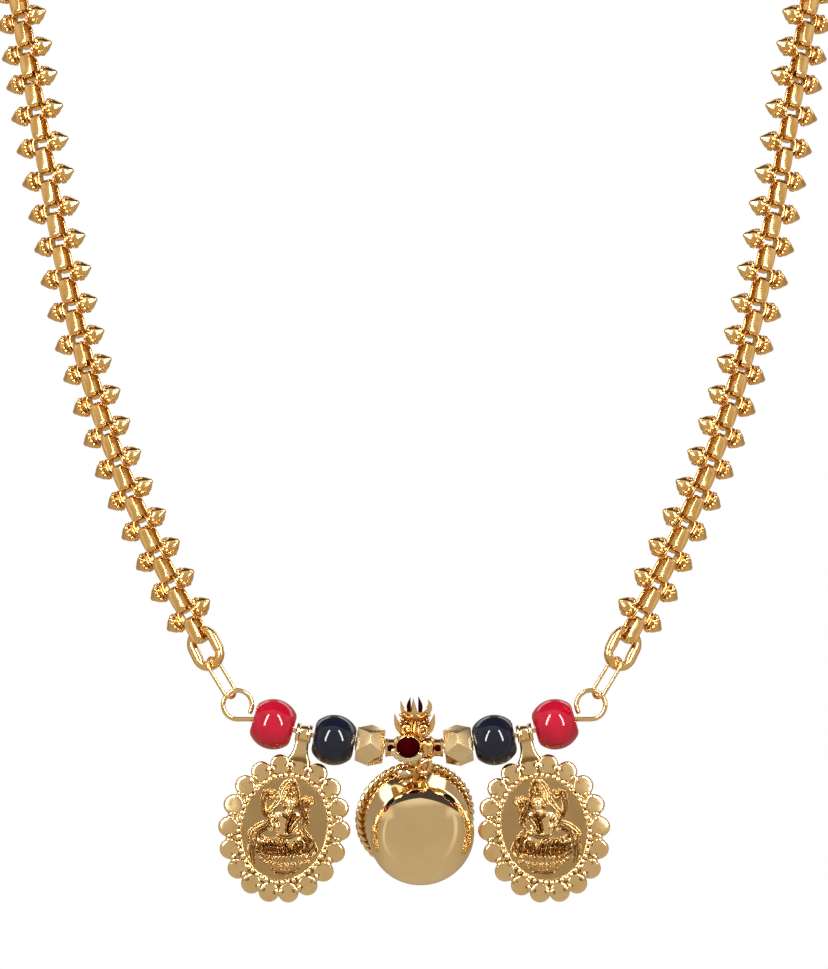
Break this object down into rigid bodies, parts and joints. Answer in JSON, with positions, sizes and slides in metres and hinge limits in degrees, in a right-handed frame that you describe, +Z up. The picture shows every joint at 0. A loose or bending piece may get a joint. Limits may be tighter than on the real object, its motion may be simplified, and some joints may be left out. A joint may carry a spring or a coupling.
{
  "type": "mangalsutra necklace",
  "caption": "Gold box-chain necklace with turned knobs and a short bar of red, black and faceted beads, two oval coin pendants with a seated figure and a cup pendant.",
  "frame": {"origin": "under the clasp, where the necklace lies on the nape of the neck", "axes": "+Z up as worn, -Y to the front, +X to the right as seen from the front"},
  "size_m": [0.1348, 0.1378, 0.2187],
  "materials": {
    "chain_gold": "polished, deep yellow gold",
    "wire_gold": "drawn and polished",
    "bead_gold": "polished facets",
    "pendant_gold": "mirror polished, pale gold",
    "red_glass": "opaque glossy glass",
    "black_glass": "opaque glossy glass",
    "dark_red_glass": "domed, glossy"
  },
  "bodies": {
    "root": {"chain_left_1": "chain_gold", "chain_left_2": "chain_gold", "chain_left_3": "chain_gold", "chain_left_4": "chain_gold", "chain_left_5": "chain_gold", "chain_left_6": "chain_gold", "chain_right_1": "chain_gold", "chain_right_2": "chain_gold", "chain_right_3": "chain_gold", "chain_right_4": "chain_gold", "chain_right_5": "chain_gold", "chain_right_6": "chain_gold", "oval_ring_left": "chain_gold", "oval_ring_right": "chain_gold", "wire_link_left": "chain_gold", "wire_link_right": "chain_gold", "red_bead_left": "red_glass", "red_bead_right": "red_glass", "black_bead_left": "black_glass", "black_bead_right": "black_glass", "faceted_bead_left": "bead_gold", "faceted_bead_right": "bead_gold", "end_ring_left": "chain_gold", "end_ring_right": "chain_gold", "bead_wire": "wire_gold", "clasp": "chain_gold"},
    "left_coin": {"coin_left": "pendant_gold"},
    "right_coin": {"coin_right": "pendant_gold"},
    "centre_pendant": {"centre_pendant": "pendant_gold", "stone": "dark_red_glass"}
  },
  "joints": [
    {"name": "left_coin_swing", "type": "hinge", "parent": "root", "child": "left_coin", "pos_m": [-0.01547, -0.129, -0.18897], "axis": [0.9833, 0, -0.1822], "range_deg": [-30, 30]},
    {"name": "right_coin_swing", "type": "hinge", "parent": "root", "child": "right_coin", "pos_m": [0.01547, -0.129, -0.18897], "axis": [0.9833, 0, 0.1822], "range_deg": [-30, 30]},
    {"name": "centre_pendant_swing", "type": "hinge", "parent": "root", "child": "centre_pendant", "pos_m": [0, -0.129, -0.191], "axis": [1, 0, 0], "range_deg": [-40, 40]}
  ]
}
